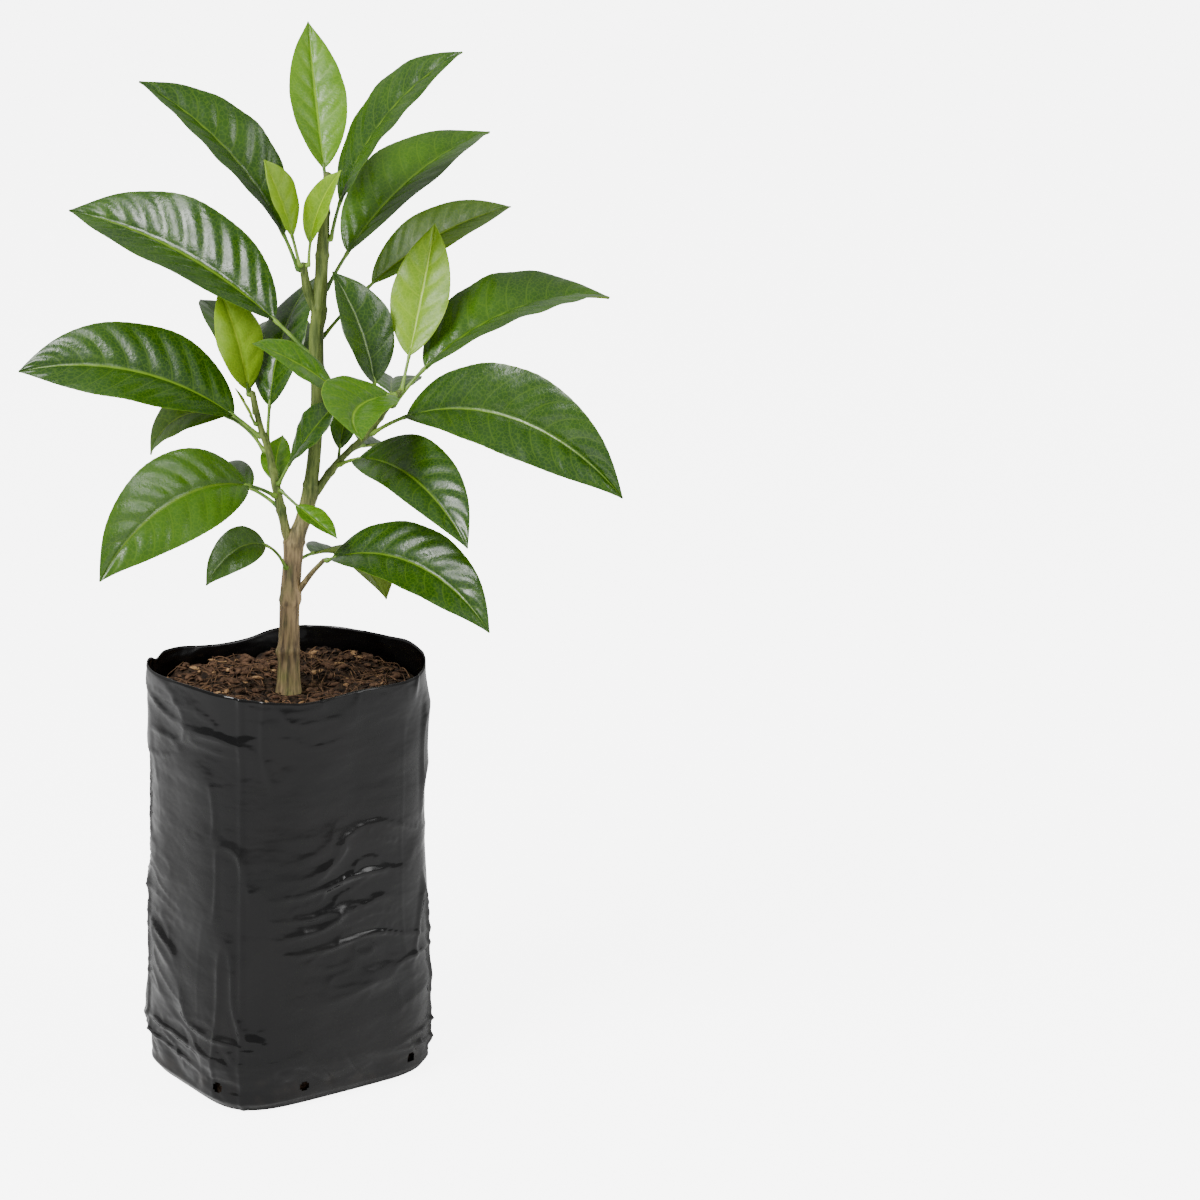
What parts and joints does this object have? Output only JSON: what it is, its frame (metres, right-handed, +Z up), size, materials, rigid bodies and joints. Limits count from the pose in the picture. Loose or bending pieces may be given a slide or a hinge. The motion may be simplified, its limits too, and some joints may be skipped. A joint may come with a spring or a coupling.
{
  "type": "potted orange sapling",
  "caption": "Young sweet orange tree with separate glossy leaves, standing in a black film nursery bag of bark and coir mix.",
  "frame": {"origin": "middle of the bag's flat underside", "axes": "+Z up; +X to the viewer's right; +Y away from the viewer"},
  "size_m": [0.2458, 0.1762, 0.4422],
  "materials": {
    "film": "semi-gloss black polythene",
    "mix": "loose bark chips and coir",
    "bark": "smooth young bark, tan with green",
    "green_bark": "smooth green bark",
    "leaf": "glossy dark green leaf",
    "young_leaf": "bright yellow-green young leaf"
  },
  "bodies": {
    "root": {"nursery_bag": "film", "potting_mix": "mix", "trunk": "bark", "left_bough": "green_bark", "right_bough": "green_bark", "top_shoot": "green_bark", "low_twig": "green_bark", "trunk_leaf_1": "leaf", "trunk_leaf_2": "leaf", "trunk_leaf_3": "leaf", "trunk_leaf_4": "leaf", "trunk_leaf_5": "leaf", "trunk_leaf_6": "leaf", "trunk_leaf_7": "leaf", "trunk_leaf_8": "leaf", "left_bough_leaf_1": "leaf", "left_bough_leaf_2": "leaf", "left_bough_leaf_3": "leaf", "left_bough_leaf_4": "leaf", "left_bough_leaf_5": "leaf", "left_bough_leaf_6": "leaf", "left_bough_leaf_7": "leaf", "left_bough_leaf_8": "leaf", "left_bough_leaf_9": "leaf", "left_bough_leaf_10": "leaf", "left_bough_leaf_11": "young_leaf", "right_bough_leaf_1": "leaf", "right_bough_leaf_2": "leaf", "right_bough_leaf_3": "leaf", "right_bough_leaf_4": "leaf", "right_bough_leaf_5": "leaf", "right_bough_leaf_6": "leaf", "right_bough_leaf_7": "leaf", "right_bough_leaf_8": "leaf", "right_bough_leaf_9": "young_leaf", "right_bough_leaf_10": "leaf", "top_shoot_leaf_1": "leaf", "top_shoot_leaf_2": "young_leaf", "top_shoot_leaf_3": "young_leaf", "low_twig_leaf_1": "leaf"}
  },
  "joints": []
}
